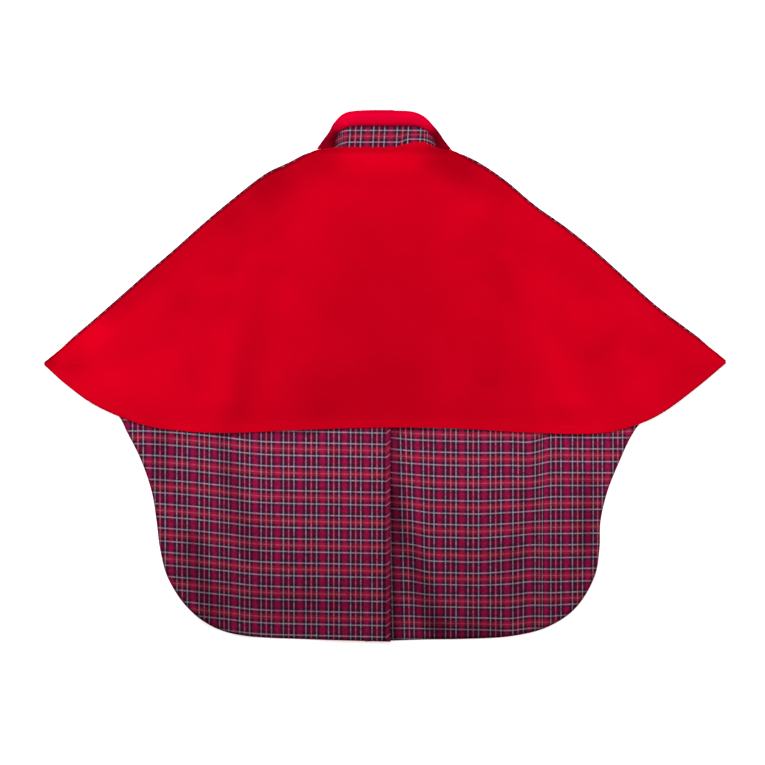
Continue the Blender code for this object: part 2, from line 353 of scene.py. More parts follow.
# Painted shade on the right lining: the band of shadow beside the lap, near its hem, and fold
# troughs
RIGHT_LINING_PAINTED_SHADE = (
    (16, -240, 100, -500, 40, -0.26),
    (110, -506, 220, -512, 36, -0.20),
    (292, -140, 284, -250, 30, -0.10),
    (404, -205, 402, -340, 26, -0.25),
)
# Painted shade on the collar stand: its turned-down ends, the shadow under the fall's lower
# edge, and its middle
STAND_PAINTED_SHADE = (
    (-104, 450, -104, 490, 20, -0.5),
    (104, 450, 104, 490, 20, -0.5),
    (-90, 508, 90, 508, 14, -0.5),
    (-90, 470, 90, 490, 80, -0.2),
)

# Small creases that only the cloth has, in the same columns
BACK_CREASES = (
    (-262, 222, -320, -88, 36, 3),
    (-212, 190, -262, -96, 36, -2.6),
    (250, 222, 372, -98, 38, 3),
    (238, 135, 268, -96, 34, -2.6),
    (192, 165, 165, -60, 24, 1.4),
    (-252, 388, -330, 310, 22, 0.9),
    (246, 372, 300, 318, 20, 0.8),
    (-470, -70, -430, 10, 26, 0.7),
    (90, -95, 110, 20, 30, 0.7),
    (-60, -98, -85, -20, 28, -0.6),
    (480, -60, 455, 30, 24, 0.8),
    (10, 400, -30, 250, 40, -0.7),
)
LEFT_LINING_CREASES = (
    (-46, -125, -38, -235, 11, 0.9),
    (-30, -290, -34, -360, 10, 0.6),
    (-60, -505, -75, -300, 22, 0.8),
    (-222, -515, -205, -400, 18, 0.7),
    (-300, -505, -318, -430, 14, 0.9),
    (-440, -380, -380, -330, 16, 0.6),
    (-120, -240, -30, -215, 18, 0.4),
)
RIGHT_LINING_CREASES = (
    (34, -250, 98, -500, 24, -1.3),
    (140, -512, 150, -380, 18, 0.7),
    (248, -512, 236, -430, 16, 0.8),
    (330, -480, 352, -400, 18, 0.7),
    (340, -180, 420, -215, 16, 0.6),
    (120, -300, 220, -318, 16, 0.4),
)

# Rolled edge of the left lining at the centre front
ROLL_WIDTH = 12.5
ROLL_RISE = 2.4
ROLL_POWER = 0.7
ROLL_GROOVE = (0.5, 1.8)
ROLL_GROOVE_PAST = 0.6
ROLL_CALM = (-175.0, -118.0)
ROLL_SLANT = 0.9
ROLL_SLANT_WIDTH = 8.0

# How the tartan lies. Ease is the cloth taken up by folds, along X. Bend lifts its weft
# lines: all along on the left, and on the right at the back's hem, halfway and at the hem
SETT_ACROSS = 45.1
SETT_ALONG = 48.1
LEFT_EASE = (
    (-480, 18.6),
    (-396, 16.7),
    (-352, 15.8),
    (-313, 9.3),
    (-271, 6),
    (-228, 4.5),
    (-93, 4.2),
    (-49, 2.7),
    (-7, 0),
    (11, 0),
)
RIGHT_EASE = (
    (0, 0),
    (52, 0),
    (141, 0.6),
    (276, 1.3),
    (306, 3),
    (322, 13.5),
    (351, 16.3),
    (394, 18.2),
    (434, 23.7),
    (474, 28.4),
)
LEFT_BEND = (
    (-480, 26),
    (-440, 24),
    (-400, 21),
    (-360, 17.2),
    (-320, 13),
    (-280, 8),
    (-240, 4.6),
    (-200, 3.2),
    (-120, 1.6),
    (-40, 0),
    (11, -1),
)
RIGHT_BEND = (
    (0, 8, 13, 3),
    (22, 6, 11, 2.2),
    (50, 3.2, 9.5, 2.2),
    (90, 1.4, 1.4, 1),
    (130, 0, 0, 0),
    (190, -1, -1, -1),
    (250, -0.8, 3.4, -2.6),
    (290, -1.6, 8, 2),
    (330, 7, 7.5, 2.2),
    (370, 7.5, 8, 5),
    (410, 7, 9, 6),
    (470, 7, 9, 6),
)
BEND_TOP = -128.0
BEND_MIDDLE = -368.0
BEND_BOTTOM = -502.0
LEFT_WARP_START = -5.9
LEFT_WEFT_START = -328.0
RIGHT_WARP_START = 52.3
RIGHT_WEFT_START = -296.8
HEM_EASE_FROM = -395.0
HEM_EASE_SHARE = 0.08
LEAN_ACROSS = (20.0, 130.0)
LEAN_SHARE = 0.022
STAND_WARP_START = -1.0
STAND_WEFT_START = 447.0
STAND_STRETCH = 1.042
STAND_WEFT_CLOSE = 1.1
STAND_ARCH = 14.0
STAND_CROWD = 52.0
STAND_CROWD_FROM = 72.0
STAND_LEAN = 0.06
STAND_LEAN_FROM = 482.0
STAND_LIFT = 6.0
STAND_LIFT_ACROSS = (28.0, 48.0)
STAND_LIFT_ALONG = (474.0, 490.0)

# Woven stripes of one sett, from the middle of a white line: colour and width
WARP_STRIPES = (
    ("white", 0.23),
    ("navy", 5.79),
    ("crimson", 11.9),
    ("navy", 5.79),
    ("white", 0.46),
    ("navy", 5.49),
    ("maroon", 4.3),
    ("pink", 1.1),
    ("maroon", 4.3),
    ("navy", 5.49),
    ("white", 0.23),
)
WEFT_STRIPES = (
    ("white", 0.23),
    ("navy", 6.39),
    ("ruby", 9.1),
    ("navy", 6.39),
    ("white", 0.46),
    ("navy", 6.79),
    ("scarlet", 5.3),
    ("coral", 1.0),
    ("scarlet", 5.3),
    ("navy", 6.79),
    ("white", 0.23),
)

# How softly a stripe meets the next one, as a share of its width and at most in millimetres
STRIPE_BLUR = 0.27
STRIPE_BLUR_MOST = 3.0

# Painted shade: how much darker the back is along its shoulder edges, and along its hem past
# the fronts
RIM_SHADE = 0.45
RIM_SHADE_WIDTH = (1.0, 7.5)
HEM_RIM_WIDTH = (1.0, 4.5)
BARE_HEM_ACROSS = (490.0, 540.0)

# Painted shade of the linings, how much darker they are: low down, at the left side, near the
# hem, in the groove beside the rolled edge, on the roll, at the shoulders, and on the right
# front beside the lap
LOW_SHADE = 0.25
SIDE_SHADE = 0.08
SIDE_SHADE_WIDTH = (240.0, 400.0)
HEM_SHADE = 0.4
HEM_SHADE_WIDTH = 9.0
GROOVE_SHADE = 0.35
GROOVE_SHADE_WIDTH = 4.0
ROLL_SHADE = 0.17
ROLL_SHADE_INNER = (10.0, 13.75)
ROLL_SHADE_OUTER = (1.5, 5.0)
SHOULDER_SHADE = 0.4
SHOULDER_SHADE_WIDTH = (8.0, 16.0)
LAP_SHADE = 0.36
LAP_SHADE_WIDTH = (9.0, 30.0)
SHADE_MOST = 0.8

# Distances from an edge at which the cloth has rows of points
EDGE_ROWS = (0.0, 0.4, 1.0, 1.8, 3.0, 5.0, 8.0, 11.5, 13.2, 14.6, 16.0, 17.4, 19.0, 22.0)

# Turned edges of the back: radius and angles of the turn, rows and most width of what is
# turned under, as shares, and the width at the shoulders
TURN_RADIUS = 1.15
TURN_ANGLES = (30.0, 60.0, 90.0, 120.0, 150.0, 180.0)
TURN_ROWS = (1.0, 0.66, 0.33)
TURN_MOST = 0.4
SHOULDER_TURN = 8.0
SHOULDER_TURN_MOST = 0.3

# Stitches: half width and half height, gaps, and how deep they lie and draw in the cloth.
# A groove is its depth and half width
STITCH_HALF = (0.32, 0.22)
STITCH_GAP = 0.9
STITCH_SINK = 0.25
HEM_GROOVE = (0.22, 3.0)
HEM_STITCHED_FROM = 60.0
NECK_GROOVE = (0.3, 3.0)
NECK_STITCH_INSET = 14.0
NECK_STITCH_ENDS = 6.0


def blend(low, high, value):
    """Smooth step from 0 at low to 1 at high."""
    t = min(max((value - low) / (high - low), 0.0), 1.0)
    return t * t * (3.0 - 2.0 * t)


def hermite(start, end, slope_start, slope_end, t):
    """Smooth value between start and end, at fraction t, with the slopes at both ends."""
    t2 = t * t
    t3 = t2 * t
    return (
        (2 * t3 - 3 * t2 + 1) * start
        + (t3 - 2 * t2 + t) * slope_start
        + (3 * t2 - 2 * t3) * end
        + (t3 - t2) * slope_end
    )


def by_section(rows, fraction, column):
    """Smooth value of a column at a fraction of the way through the sections."""
    place = fraction * (len(rows) - 1)
    index = min(int(place), len(rows) - 2)
    start = rows[index][column]
    end = rows[index + 1][column]
    slope_start = 0.5 * (end - rows[max(index - 1, 0)][column])
    slope_end = 0.5 * (rows[min(index + 2, len(rows) - 1)][column] - start)
    return hermite(start, end, slope_start, slope_end, place - index)


def by_distance(rows, x, column):
    """Smooth value of a column where the first column reads x."""
    x = min(max(x, rows[0][0]), rows[-1][0])
    index = 0
    while x > rows[index + 1][0]:
        index += 1
    low = rows[index]
    high = rows[index + 1]
    before = rows[max(index - 1, 0)]
    after = rows[min(index + 2, len(rows) - 1)]
    span = high[0] - low[0]
    slope_low = (high[column] - before[column]) / (high[0] - before[0])
    slope_high = (after[column] - low[column]) / (after[0] - low[0])
    t = (x - low[0]) / span
    return hermite(low[column], high[column], slope_low * span, slope_high * span, t)


def fold_height(folds, x, y):
    """What the soft folds of a table add at a point: each a rounded ridge, of height or of
    painted light and shade.
    """
    total = 0.0
    for x0, y0, x1, y1, half_width, rise in folds:
        along_x = x1 - x0
        along_y = y1 - y0
        t = ((x - x0) * along_x + (y - y0) * along_y) / (along_x * along_x + along_y * along_y)
        t = min(max(t, 0.0), 1.0)
        away = math.hypot(x - x0 - along_x * t, y - y0 - along_y * t) / half_width
        if away < 1.0:
            total += rise * (1.0 - away * away) ** 2
    return total


def groove(distance, width):
    """Depth from 0 to 1 of a stitched groove, at a distance from its middle."""
    away = abs(distance) / width
    return (1.0 - away * away) ** 2 if away < 1.0 else 0.0


def edge_drop(distance, radius, depth):
    """How far a rounded edge falls below the face, at a distance from the edge."""
    if distance >= radius:
        return 0.0
    part = 1.0 - distance / radius
    return depth * (1.0 - math.sqrt(max(1.0 - part * part, 0.0)))


def spaced(length, count):
    """Distances along a line: close together at both ends and even between."""
    scale = min(1.0, length / (4.0 * EDGE_ROWS[-1]))
    near = [row * scale for row in EDGE_ROWS]
    far = [length - row for row in reversed(near)]
    inner = length - 2.0 * near[-1]
    return near + [near[-1] + inner * k / count for k in range(1, count)] + far


def shoulder_height(x):
    return by_distance(SHOULDER, abs(x), 1 if x < 0 else 2)


def neckline_point(side, angle):
    """Point of the fronts' neckline, by its angle from the centre front."""
    across = side * NECKLINE_ACROSS * math.sin(angle)
    return Vector((across, NECKLINE_CENTRE - NECKLINE_DEEP * math.cos(angle)))


def stand_level(x):
    """Level of the collar stand's upper face: round in the middle, its ends turned down."""
    part = min(abs(x) / STAND_ACROSS, 1.0)
    share = 1.0 - part ** STAND_LEVEL_POWER
    return STAND_LEVEL_END + (STAND_LEVEL_MIDDLE - STAND_LEVEL_END) * share


def lap_rise(x):
    """How far the left front climbs to lie on the right front at the centre."""
    return LAP_RISE * blend(*LAP_RAMP, x)


class Path:
    """A path through points, measured along its length."""

    def __init__(self, points):
        self.points = points
        self.lengths = [0.0]
        for a, b in zip(points, points[1:]):
            self.lengths.append(self.lengths[-1] + (b - a).length)

    def at(self, distance):
        """Point of the path at a distance along it, and the step that it lies on."""
        k = 0
        while k < len(self.lengths) - 2 and self.lengths[k + 1] < distance:
            k += 1
        t = (distance - self.lengths[k]) / (self.lengths[k + 1] - self.lengths[k])
        start, end = self.points[k], self.points[k + 1]
        return start.lerp(end, t), end - start


def smooth_line(rows, across, height):
    """Path of a smooth line through two columns of a table."""
    fine = LINE_STEPS * (len(rows) - 1)
    parts = [i / fine for i in range(fine + 1)]
    return Path([Vector([by_section(rows, u, c) for c in (across, height)]) for u in parts])


def front_columns(side, count):
    """Columns of a front from the centre front to the shoulder: their hem and neck points."""
    line = smooth_line(FRONT_HEM, *((0, 1) if side < 0 else (2, 3)))
    edge = LAP_EDGE if side < 0 else LAP_HIDDEN_EDGE
    start = math.asin(edge * side / NECKLINE_ACROSS)
    columns = []
    for distance in spaced(line.lengths[-1], count):
        u = distance / line.lengths[-1]
        neck = neckline_point(side, start + (NECKLINE_END - start) * u)
        columns.append((u, line.at(distance)[0], neck))
    return columns


def front_place(side, column, tip, distance):
    """Place in plan of a point of a front, at a distance up its column from the hem."""
    u, hem, neck = column
    v = distance / (neck - hem).length
    point = hem.lerp(neck, v)
    straight = tip.lerp(neckline_point(side, NECKLINE_END), v)
    bow = shoulder_height(straight.x) - straight.y
    bow *= blend(0.0, BOW_FADE_TIP, v) * blend(0.0, BOW_FADE_NECK, 1.0 - v)
    return point + Vector((0.0, bow * u ** BOW_POWER))


def weft_bend(side, x, y):
    """How far the weft lines of a lining are lifted at a point."""
    if side < 0:
        return by_distance(LEFT_BEND, x, 1)
    top, middle, bottom = (by_distance(RIGHT_BEND, x, column) for column in (1, 2, 3))
    if y > BEND_MIDDLE:
        return top + (middle - top) * blend(BEND_TOP, BEND_MIDDLE, y)
    return middle + (bottom - middle) * blend(BEND_MIDDLE, BEND_BOTTOM, y)


def front_sheet(side, grid, inset, point):
    """Columns of points over a front, from left to right, each as point says of its place."""
    plan = front_columns(side, grid[0])
    tip = plan[-1][1]
    columns = []
    for column in plan:
        _, hem, neck = column
        rows = []
        for distance in spaced((neck - hem).length - inset, grid[1]):
            place = front_place(side, column, tip, inset + distance)
            rows.append(point(side, place.x, place.y, distance))
        columns.append(rows)
    return columns[::side]


def tartan_place(side, x, y):
    """Place on the tartan, in millimetres from the start of a sett, of a point of a lining."""
    bend = weft_bend(side, x, y)
    if side < 0:
        bend += ROLL_SLANT * max(ROLL_SLANT_WIDTH - (LAP_EDGE - x), 0.0)
        across = x - LEFT_WARP_START - by_distance(LEFT_EASE, x, 1)
        along = y - LEFT_WEFT_START - bend
    else:
        lean = LEAN_SHARE * (BEND_TOP - y) * (1.0 - blend(*LEAN_ACROSS, x))
        across = x - RIGHT_WARP_START + by_distance(RIGHT_EASE, x, 1) - lean
        along = y - RIGHT_WEFT_START - bend
        along -= HEM_EASE_SHARE * max(HEM_EASE_FROM - y, 0.0)
    return across, along


def lining_painted_shade(side, x, y, from_hem):
    """Painted shade of a lining at a point: how much darker it is."""
    shade = LOW_SHADE * blend(BEND_TOP, BEND_BOTTOM, y)
    shade += HEM_SHADE * (1.0 - blend(0.0, HEM_SHADE_WIDTH, from_hem))
    shade -= fold_height(LEFT_LINING_PAINTED_SHADE if side < 0 else RIGHT_LINING_PAINTED_SHADE, x, y)
    shade += SHOULDER_SHADE * (1.0 - blend(*SHOULDER_SHADE_WIDTH, shoulder_height(x) - y))
    if side < 0:
        from_edge = LAP_EDGE - x
        shade += SIDE_SHADE * blend(*SIDE_SHADE_WIDTH, from_edge)
        shade += GROOVE_SHADE * groove(from_edge - ROLL_WIDTH, GROOVE_SHADE_WIDTH)
        shade += ROLL_SHADE * (1.0 - blend(*ROLL_SHADE_INNER, from_edge))
        shade += ROLL_SHADE * (1.0 - blend(*ROLL_SHADE_OUTER, from_edge))
    else:
        shade += LAP_SHADE * (1.0 - blend(*LAP_SHADE_WIDTH, x - LAP_EDGE))
    return -min(shade, SHADE_MOST)


def cloth_mesh(name, columns, painted_shading=()):
    """A mesh through columns of points: x, y, z, place across and along the cloth, and painted
    light and shade.
    """
    across = len(columns) - 1
    along = len(columns[0]) - 1
    bm = bmesh.new()
    bmesh.ops.create_grid(bm, x_segments=across, y_segments=along, size=0.5)
    places = {}
    painted_layer = bm.verts.layers.float.new("Painted light and shade")
    for vert in bm.verts:
        i = round((vert.co.x + 0.5) * across)
        j = round((vert.co.y + 0.5) * along)
        x, y, z, warp, weft, *shade = columns[i][j]
        vert.co = Vector((x, y, z)) * MM
        # Painted light and shade of each point: given in its row, or else taken from a table of
        # patches
        vert[painted_layer] = shade[0] if shade else fold_height(painted_shading, x, y)
        places[vert.index] = (warp * MM, weft * MM)
    bm.verts.index_update()
    layer = bm.loops.layers.uv.new("Cloth place")
    for face in bm.faces:
        face.smooth = True
        for loop in face.loops:
            loop[layer].uv = places[loop.vert.index]
    mesh = bpy.data.meshes.new(name)
    bm.to_mesh(mesh)
    bm.free()
    return mesh


def new_piece(name, mesh, cloth):
    piece = bpy.data.objects.new(name, mesh)
    bpy.context.scene.collection.objects.link(piece)
    mesh.materials.append(cloth)
    return piece


def finish_cloth(piece, wall, offset, node):
    """Thickens a sheet and sets it on the frame in place of its solid."""
    solidify = piece.modifiers.new("Cloth thickness", "SOLIDIFY")
    solidify.thickness = wall
    solidify.offset = offset
    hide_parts(node)
    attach(piece, "root")


def stitch_row(name, points, length, gap):
    """Small stitches laid end to end along a path of points, as one mesh."""
    bm = bmesh.new()
    path = Path(points)
    start = gap
    while start + length < path.lengths[-1]:
        middle, step = path.at(start + 0.5 * length)
        place = Matrix.Translation(middle * MM)
        turn = step.to_track_quat("X", "Z").to_matrix().to_4x4()
        size = Matrix.Diagonal((0.5 * length * MM, *(half * MM for half in STITCH_HALF), 1.0))
        bmesh.ops.create_icosphere(bm, subdivisions=1, radius=1.0, matrix=place @ turn @ size)
        start += length + gap
    for face in bm.faces:
        face.smooth = True
    mesh = bpy.data.meshes.new(name)
    bm.to_mesh(mesh)
    bm.free()
    piece = new_piece(name, mesh, thread())
    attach(piece, "root")
    return piece


def chosen(name):
    """The colour that a user chose, with full cover."""
    return (*getattr(bpy.context.scene.cape_colours, name), 1.0)


def new_material(name):
    cloth = bpy.data.materials.new(name)
    cloth.use_nodes = True
    return cloth, cloth.node_tree, cloth.node_tree.nodes["Principled BSDF"]


def link(tree, source, target):
    tree.links.new(source, target)


def set_sockets(node, values):
    for name, value in values.items():
        node.inputs[name].default_value = value


def sums(tree, operation, first, second, third=None):
    """A Math node: each input is a number or another node's output."""
    node = tree.nodes.new("ShaderNodeMath")
    node.operation = operation
    for index, value in enumerate((first, second, third)):
        if value is None:
            continue
        if isinstance(value, (int, float)):
            node.inputs[index].default_value = value
        else:
            link(tree, value, node.inputs[index])
    return node.outputs[0]


def noise(tree, place, values):
    node = tree.nodes.new("ShaderNodeTexNoise")
    set_sockets(node, values)
    link(tree, place, node.inputs["Vector"])
    return node.outputs["Fac"]


def mix_colours(tree, share, first, second):
    node = tree.nodes.new("ShaderNodeMix")
    node.data_type = "RGBA"
    for name, value in (("Factor_Float", share), ("A_Color", first), ("B_Color", second)):
        socket = next(s for s in node.inputs if s.identifier == name)
        if isinstance(value, (int, float, tuple)):
            socket.default_value = value
        else:
            link(tree, value, socket)
    return next(s for s in node.outputs if s.identifier == "Result_Color")


def cloth_place(tree):
    node = tree.nodes.new("ShaderNodeUVMap")
    node.uv_map = "Cloth place"
    return node.outputs["UV"]


def bump(tree, shader, height, values):
    node = tree.nodes.new("ShaderNodeBump")
    set_sockets(node, values)
    link(tree, height, node.inputs["Height"])
    link(tree, node.outputs["Normal"], shader.inputs["Normal"])


def with_painted_shading(tree, colour):
    """A cloth's colour made lighter or darker by its painted light and shade."""
    painted_shading = tree.nodes.new("ShaderNodeAttribute")
    painted_shading.attribute_name = "Painted light and shade"
    node = tree.nodes.new("ShaderNodeHueSaturation")
    link(tree, sums(tree, "ADD", painted_shading.outputs["Fac"], 1.0), node.inputs["Value"])
    link(tree, colour, node.inputs["Color"])
    return node.outputs["Color"]


def wool_material(name, light, deep):
    """Napped red wool: matte, stretched fibres, soft patches of lighter red, a red sheen, and
    painted light and shade.
    """
    cloth, tree, shader = new_material(name)
    place = cloth_place(tree)
    stretch = tree.nodes.new("ShaderNodeMapping")
    stretch.inputs["Scale"].default_value = FIBRE_STRETCH
    link(tree, place, stretch.inputs["Vector"])
    fibres = noise(tree, stretch.outputs["Vector"], WOOL_FIBRES)
    patches = noise(tree, place, WOOL_PATCHES)
    shade = sums(tree, "MULTIPLY_ADD", fibres, FIBRE_SHARE, LIGHT_SHARE)
    shade = sums(tree, "MULTIPLY_ADD", patches, PATCH_SHARE, shade)
    red = mix_colours(tree, shade, deep, light)
    # The painted light and shade of each piece lightens or darkens the wool's red
    link(tree, with_painted_shading(tree, red), shader.inputs["Base Color"])
    set_sockets(shader, WOOL_FINISH)
    bump(tree, shader, fibres, WOOL_BUMP)
    return cloth


def thread_material(name, light, deep):
    """Red sewing thread, a little smoother than the wool."""
    cloth, tree, shader = new_material(name)
    place = tree.nodes.new("ShaderNodeTexCoord").outputs["Object"]
    strands = noise(tree, place, THREAD_STRANDS)
    red = mix_colours(tree, strands, deep, light)
    link(tree, red, shader.inputs["Base Color"])
    set_sockets(shader, THREAD_FINISH)
    return cloth


def stripe_colour(tree, place, sett, stripes):
    """Colour of the threads that cross a sett's stripes."""
    share = sums(tree, "FRACT", sums(tree, "MULTIPLY", place, 1.0 / (sett * MM)), None)
    node = tree.nodes.new("ShaderNodeValToRGB")
    link(tree, share, node.inputs["Fac"])
    ramp = node.color_ramp
    total = sum(width for _, width in stripes)
    stops = []
    start = 0.0
    for name, width in stripes:
        colour = chosen(name)
        blur = min(STRIPE_BLUR * width, STRIPE_BLUR_MOST)
        stops.append(((start + blur) / total, colour))
        stops.append(((start + width - blur) / total, colour))
        start += width
    ramp.elements[0].position = stops[0][0]
    ramp.elements[0].color = stops[0][1]
    ramp.elements[1].position = stops[-1][0]
    ramp.elements[1].color = stops[-1][1]
    for position, colour in stops[1:-1]:
        ramp.elements.new(position).color = colour
    return node.outputs["Color"]


def tartan_material(name):
    """Woven tartan: warp and weft stripes crossing in a fine twill."""
    cloth, tree, shader = new_material(name)
    parts = tree.nodes.new("ShaderNodeSeparateXYZ")
    place = cloth_place(tree)
    link(tree, place, parts.inputs["Vector"])
    across = parts.outputs["X"]
    along = parts.outputs["Y"]
    warp = stripe_colour(tree, across, SETT_ACROSS, WARP_STRIPES)
    weft = stripe_colour(tree, along, SETT_ALONG, WEFT_STRIPES)
    diagonal = sums(tree, "ADD", across, along)
    turn = sums(tree, "MULTIPLY", diagonal, 2.0 * math.pi / (TWILL_WALE * MM))
    wave = sums(tree, "SINE", turn, None)
    twill = sums(tree, "MULTIPLY_ADD", wave, TWILL_SWING, TWILL_MIDDLE)
    threads = noise(tree, place, TARTAN_THREADS)
    fallen = sums(tree, "SUBTRACT", twill, THREADS_FALL)
    share = sums(tree, "MULTIPLY_ADD", threads, THREADS_SWING, fallen)
    woven = mix_colours(tree, share, warp, weft)
    # The painted shade of the linings and the stand darkens the woven colour
    link(tree, with_painted_shading(tree, woven), shader.inputs["Base Color"])
    set_sockets(shader, TARTAN_FINISH)
    bump(tree, shader, twill, TARTAN_BUMP)
    return cloth


def floor_material():
    """Plain matte studio floor."""
    surface, tree, shader = new_material("Studio floor")
    set_sockets(shader, FLOOR_FINISH)
    place = tree.nodes.new("ShaderNodeTexCoord").outputs["Object"]
    shade = noise(tree, place, FLOOR_TONE)
    light = chosen("floor")
    deep = (*(FLOOR_DEEP_SHARE * value for value in light[:3]), 1.0)
    tone = mix_colours(tree, shade, deep, light)
    link(tree, tone, shader.inputs["Base Color"])
    return surface


def size_of(name, description, default, least, most):
    """A size that a user may change."""
    return bpy.props.FloatProperty(
        name=name, description=description, default=default, min=least, max=most,
        unit="LENGTH", subtype="DISTANCE", precision=4,
    )


def colour_of(name, description, default):
    """A colour that a user may change."""
    return bpy.props.FloatVectorProperty(
        name=name, description=description, default=default, size=3, subtype="COLOR",
        min=0.0, max=1.0,
    )


class CapeSizes(bpy.types.PropertyGroup):
    """Sizes in metres: name, description, usual one, least and most."""
    wool_wall: size_of("Wool", "Thickness of one layer of the red wool", 0.0011, 0.0006, 0.0014)
    lining_wall: size_of("Lining", "Thickness of the tartan lining", 0.0006, 0.0003, 0.0008)
    hem_turn: size_of("Hem turn", "Width of the hem turned under the back", 0.016, 0.008, 0.03)
    stitch_length: size_of("Stitch", "Length of one stitch", 0.0034, 0.002, 0.006)


class CapeColours(bpy.types.PropertyGroup):
    """Colours of the wool, its thread, the tartan's threads and the floor."""
    red: colour_of("Wool", "Lighter red of the wool", (0.585, 0.0, 0.011))
    red_deep: colour_of("Wool, deep", "Deeper red between the fibres", (0.46, 0.0, 0.0065))
    # Collar reds: the wool's red painted lighter and pinker, as painted light and sheen on the
    # collar
    collar: colour_of("Collar", "Lighter red of the collar", (0.66, 0.0, 0.026))
    collar_deep: colour_of("Collar, deep", "Deeper red of the collar", (0.54, 0.0, 0.020))
    thread: colour_of("Thread", "Sewing thread of the wool", (0.60, 0.001, 0.014))
    white: colour_of("White", "White thread of the tartan", (0.53, 0.425, 0.51))
    navy: colour_of("Navy", "Dark thread of the tartan", (0.026, 0.006, 0.028))
    crimson: colour_of("Crimson", "Wide warp block", (0.42, 0.010, 0.073))
    ruby: colour_of("Ruby", "Narrow weft block", (0.20, 0.002, 0.04))
    scarlet: colour_of("Scarlet", "Wide weft block", (0.35, 0.011, 0.043))
    maroon: colour_of("Maroon", "Narrow warp block", (0.15, 0.004, 0.02))
    pink: colour_of("Pink", "Thin warp line in the middle of a block", (0.70, 0.20, 0.30))
    coral: colour_of("Coral", "Thin weft line in the middle of a block", (0.55, 0.10, 0.12))
    floor: colour_of("Floor", "Studio floor", (0.96, 0.96, 0.96))


def cloth_named(name, make, *colours):
    """A finish by name, made the first time that a piece asks for it."""
    return bpy.data.materials.get(name) or make(name, *(chosen(item) for item in colours))


def wool():
    return cloth_named("Red wool coating", wool_material, "red", "red_deep")


def painted_lighter_collar_wool():
    """The same wool with its red painted lighter and a little pinker on the collar, as painted
    light and sheen.
    """
    return cloth_named("Red collar wool", wool_material, "collar", "collar_deep")


def tartan():
    return cloth_named("Tartan lining", tartan_material)


def thread():
    return cloth_named("Red sewing thread", thread_material, "thread", "red_deep")


class CAPE_OT_stage(bpy.types.Operator):
    """Floor, soft studio light and the camera straight above"""
    bl_idname = "cape.stage"
    bl_label = "Stage"

    def execute(self, context):
        scene = context.scene
        scene.view_settings.view_transform = "Standard"
        bm = bmesh.new()
        bmesh.ops.create_grid(bm, x_segments=1, y_segments=1, size=FLOOR_HALF)
        bmesh.ops.translate(bm, verts=bm.verts, vec=(0.0, 0.0, FLOOR_LEVEL))
        mesh = bpy.data.meshes.new("studio_floor")
        bm.to_mesh(mesh)
        bm.free()
        floor = new_piece("studio_floor", mesh, floor_material())
        for light in LIGHTS:
            self.light(*light)
        world = bpy.data.worlds.new("Studio air")
        scene.world = world
        world.use_nodes = True
        air = world.node_tree.nodes["Background"]
        air.inputs["Color"].default_value = (1.0, 1.0, 1.0, 1.0)
        air.inputs["Strength"].default_value = AIR_STRENGTH
        lens = bpy.data.cameras.new("Camera above")
        lens.sensor_width = SENSOR
        lens.lens = SENSOR * CAMERA_PLACE[2] / PICTURE_WIDTH
        lens.clip_end = CAMERA_REACH
        camera = bpy.data.objects.new("Camera above", lens)
        scene.collection.objects.link(camera)
        camera.location = CAMERA_PLACE
        scene.camera = camera
        return {"FINISHED"}

    def light(self, name, place, size, power):
        lamp = bpy.data.lights.new(name, "AREA")
        lamp.shape = "SQUARE"
        lamp.size = size
        lamp.energy = power
        item = bpy.data.objects.new(name, lamp)
        bpy.context.scene.collection.objects.link(item)
        item.location = place
        item.rotation_euler = (-Vector(place)).to_track_quat("-Z", "Y").to_euler()


class CAPE_OT_shells(bpy.types.Operator):
    """Red wool of both fronts, face down on the floor"""
    bl_idname = "cape.shells"
    bl_label = "Front shells"

    def execute(self, context):
        for name, side in SIDES:
            self.make(context.scene.cape_sizes, name, side)
        return {"FINISHED"}

    def point(self, side, x, y, _):
        """Point of a shell, which lies as it was cut."""
        return x, y, lap_rise(x) if side < 0 else 0.0, x, y

    def make(self, sizes, name, side):
        columns = front_sheet(side, SHELL_GRID, 0.0, self.point)
        mesh = cloth_mesh(f"{name}_front_wool", columns)
        piece = new_piece(f"{name}_front_wool", mesh, wool())
        finish_cloth(
            piece, sizes.wool_wall, 1.0, f"front_{name}_shell"
        )


